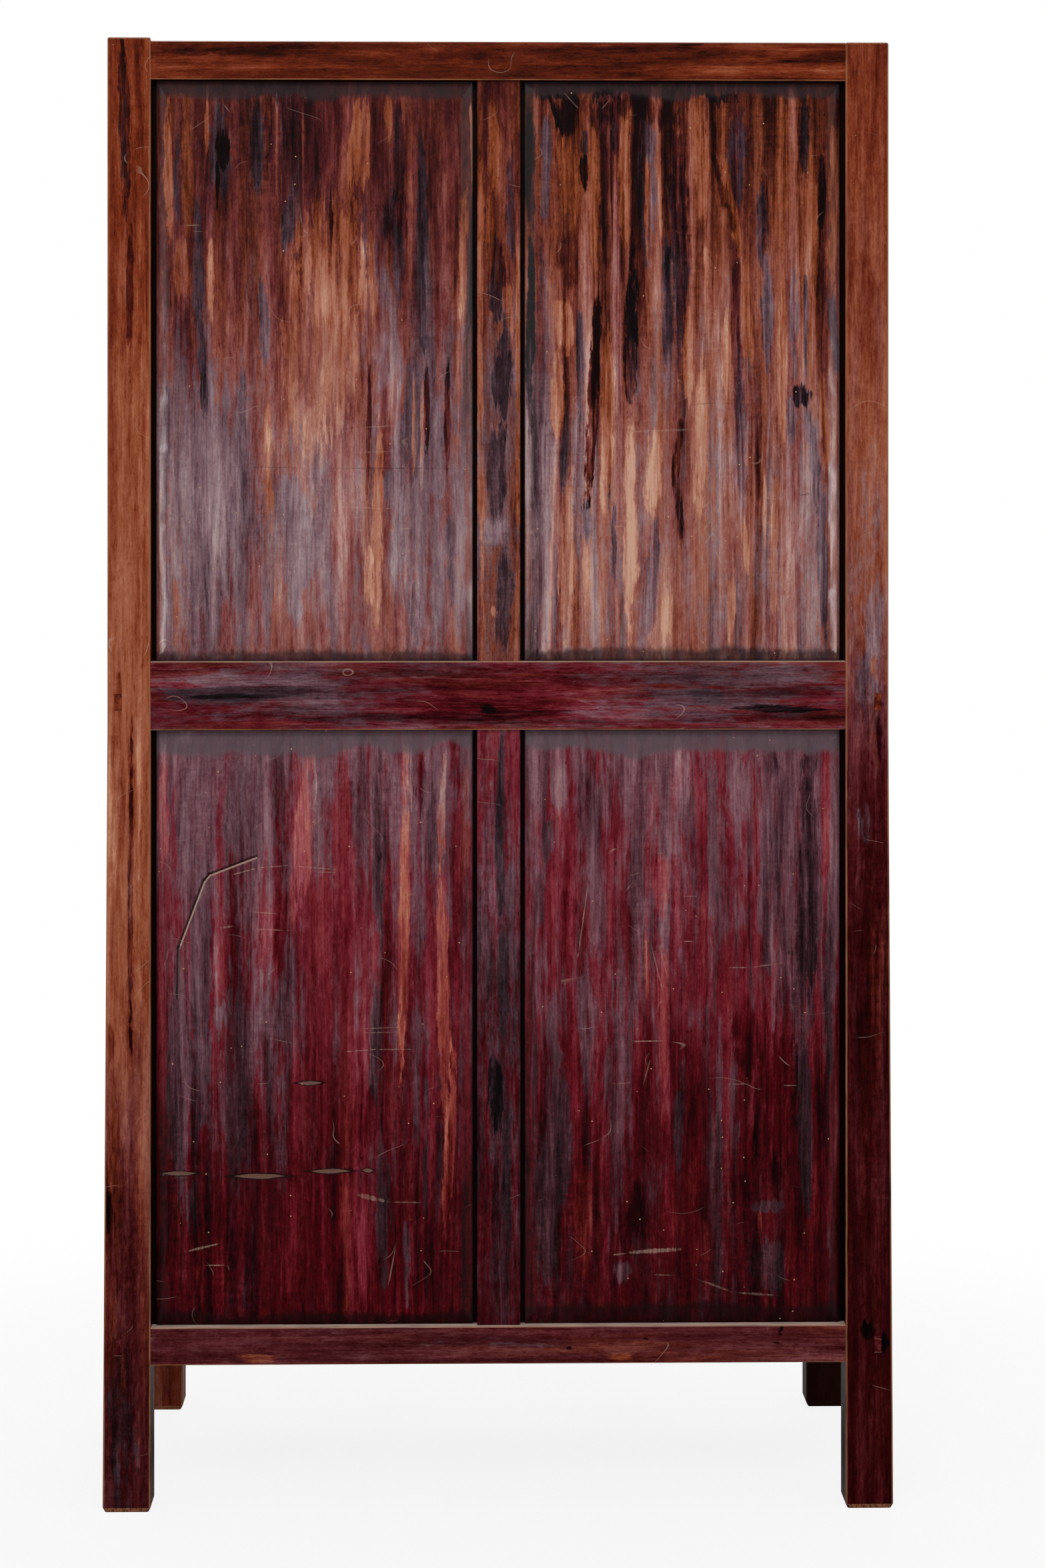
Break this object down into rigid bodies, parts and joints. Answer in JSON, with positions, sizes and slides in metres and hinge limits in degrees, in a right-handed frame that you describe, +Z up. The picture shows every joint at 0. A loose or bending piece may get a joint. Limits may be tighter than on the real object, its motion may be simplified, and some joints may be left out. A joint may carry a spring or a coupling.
{
  "type": "wedding cabinet",
  "caption": "Tall lacquered frame-and-panel cabinet on square post feet, with panelled back and sides, pivoting doors with a round brass plate, and drawers below.",
  "frame": {"origin": "on the floor, under the middle of the four posts", "axes": "+Z up; the doors and drawers face -Y and the panelled back faces +Y; +X is the right-hand side as seen from in front of the doors"},
  "size_m": [0.994, 0.536, 1.85],
  "materials": {
    "lacquered_frame": "worn orange-brown to maroon lacquer, satin",
    "lacquered_panel": "figured wood under worn red-brown lacquer, satin",
    "lacquered_door": "deep red lacquer, satin",
    "plain_wood": "bare softwood, dry and darkened",
    "brass": "aged brass, brown in the hollows"
  },
  "bodies": {
    "carcase": {"apron_front": "lacquered_frame", "apron_left": "lacquered_frame", "apron_right": "lacquered_frame", "back_mullion_lower": "lacquered_frame", "back_mullion_upper": "lacquered_frame", "back_panel_lower_left": "lacquered_panel", "back_panel_lower_right": "lacquered_panel", "back_panel_upper_left": "lacquered_panel", "back_panel_upper_right": "lacquered_panel", "base_panel": "plain_wood", "bottom_rail_back": "lacquered_frame", "bottom_rail_front": "lacquered_frame", "bottom_rail_left": "lacquered_frame", "bottom_rail_right": "lacquered_frame", "drawer_divider": "lacquered_frame", "drawer_guides": "plain_wood", "floor_panel": "plain_wood", "inner_bearers": "plain_wood", "mid_rail_back": "lacquered_frame", "mid_rail_left": "lacquered_frame", "mid_rail_right": "lacquered_frame", "post_back_left": "lacquered_frame", "post_back_right": "lacquered_frame", "post_front_left": "lacquered_frame", "post_front_right": "lacquered_frame", "shelf_panel": "plain_wood", "side_panel_lower_left": "lacquered_panel", "side_panel_lower_right": "lacquered_panel", "side_panel_upper_left": "lacquered_panel", "side_panel_upper_right": "lacquered_panel", "top_brace": "plain_wood", "top_panel": "lacquered_panel", "top_rail_back": "lacquered_frame", "top_rail_front": "lacquered_frame", "top_rail_left": "lacquered_frame", "top_rail_right": "lacquered_frame", "waist_rail": "lacquered_frame"},
    "door_left": {"door_left_hinge_stile": "lacquered_door", "door_left_lock_stile": "lacquered_door", "door_left_panel": "lacquered_door", "door_left_rails": "lacquered_door", "lock_plate_left": "brass"},
    "door_right": {"door_right_hinge_stile": "lacquered_door", "door_right_lock_stile": "lacquered_door", "door_right_panel": "lacquered_door", "door_right_rails": "lacquered_door", "lock_plate_right": "brass"},
    "lock_pin": {"lock_pin": "brass"},
    "door_pull_left": {"door_pull_left": "brass"},
    "door_pull_right": {"door_pull_right": "brass"},
    "drawer_left": {"drawer_left_front": "lacquered_door", "drawer_left_box": "plain_wood", "drawer_left_bottom": "plain_wood", "drawer_plate_left": "brass"},
    "drawer_right": {"drawer_right_front": "lacquered_door", "drawer_right_box": "plain_wood", "drawer_right_bottom": "plain_wood", "drawer_plate_right": "brass"},
    "drawer_bail_left": {"drawer_bail_left": "brass"},
    "drawer_bail_right": {"drawer_bail_right": "brass"}
  },
  "joints": [
    {"name": "door_left_hinge", "type": "hinge", "parent": "carcase", "child": "door_left", "pos_m": [-0.4205, -0.243, 1.1], "axis": [0, 0, -1], "range_deg": [0, 95]},
    {"name": "door_right_hinge", "type": "hinge", "parent": "carcase", "child": "door_right", "pos_m": [0.4205, -0.243, 1.1], "axis": [0, 0, 1], "range_deg": [0, 95]},
    {"name": "door_pull_left_swing", "type": "hinge", "parent": "door_left", "child": "door_pull_left", "pos_m": [-0.062, -0.268, 1.066], "axis": [-1, 0, 0], "range_deg": [0, 80]},
    {"name": "door_pull_right_swing", "type": "hinge", "parent": "door_right", "child": "door_pull_right", "pos_m": [0.062, -0.268, 1.066], "axis": [-1, 0, 0], "range_deg": [0, 80]},
    {"name": "lock_pin_slide", "type": "slide", "parent": "door_left", "child": "lock_pin", "axis": [1, 0, 0], "range_m": [0, 0.032]},
    {"name": "drawer_left_slide", "type": "slide", "parent": "carcase", "child": "drawer_left", "axis": [0, -1, 0], "range_m": [0, 0.36]},
    {"name": "drawer_right_slide", "type": "slide", "parent": "carcase", "child": "drawer_right", "axis": [0, -1, 0], "range_m": [0, 0.36]},
    {"name": "drawer_bail_left_swing", "type": "hinge", "parent": "drawer_left", "child": "drawer_bail_left", "pos_m": [-0.226, -0.265, 0.3064], "axis": [-1, 0, 0], "range_deg": [0, 85]},
    {"name": "drawer_bail_right_swing", "type": "hinge", "parent": "drawer_right", "child": "drawer_bail_right", "pos_m": [0.226, -0.265, 0.3064], "axis": [-1, 0, 0], "range_deg": [0, 85]}
  ]
}
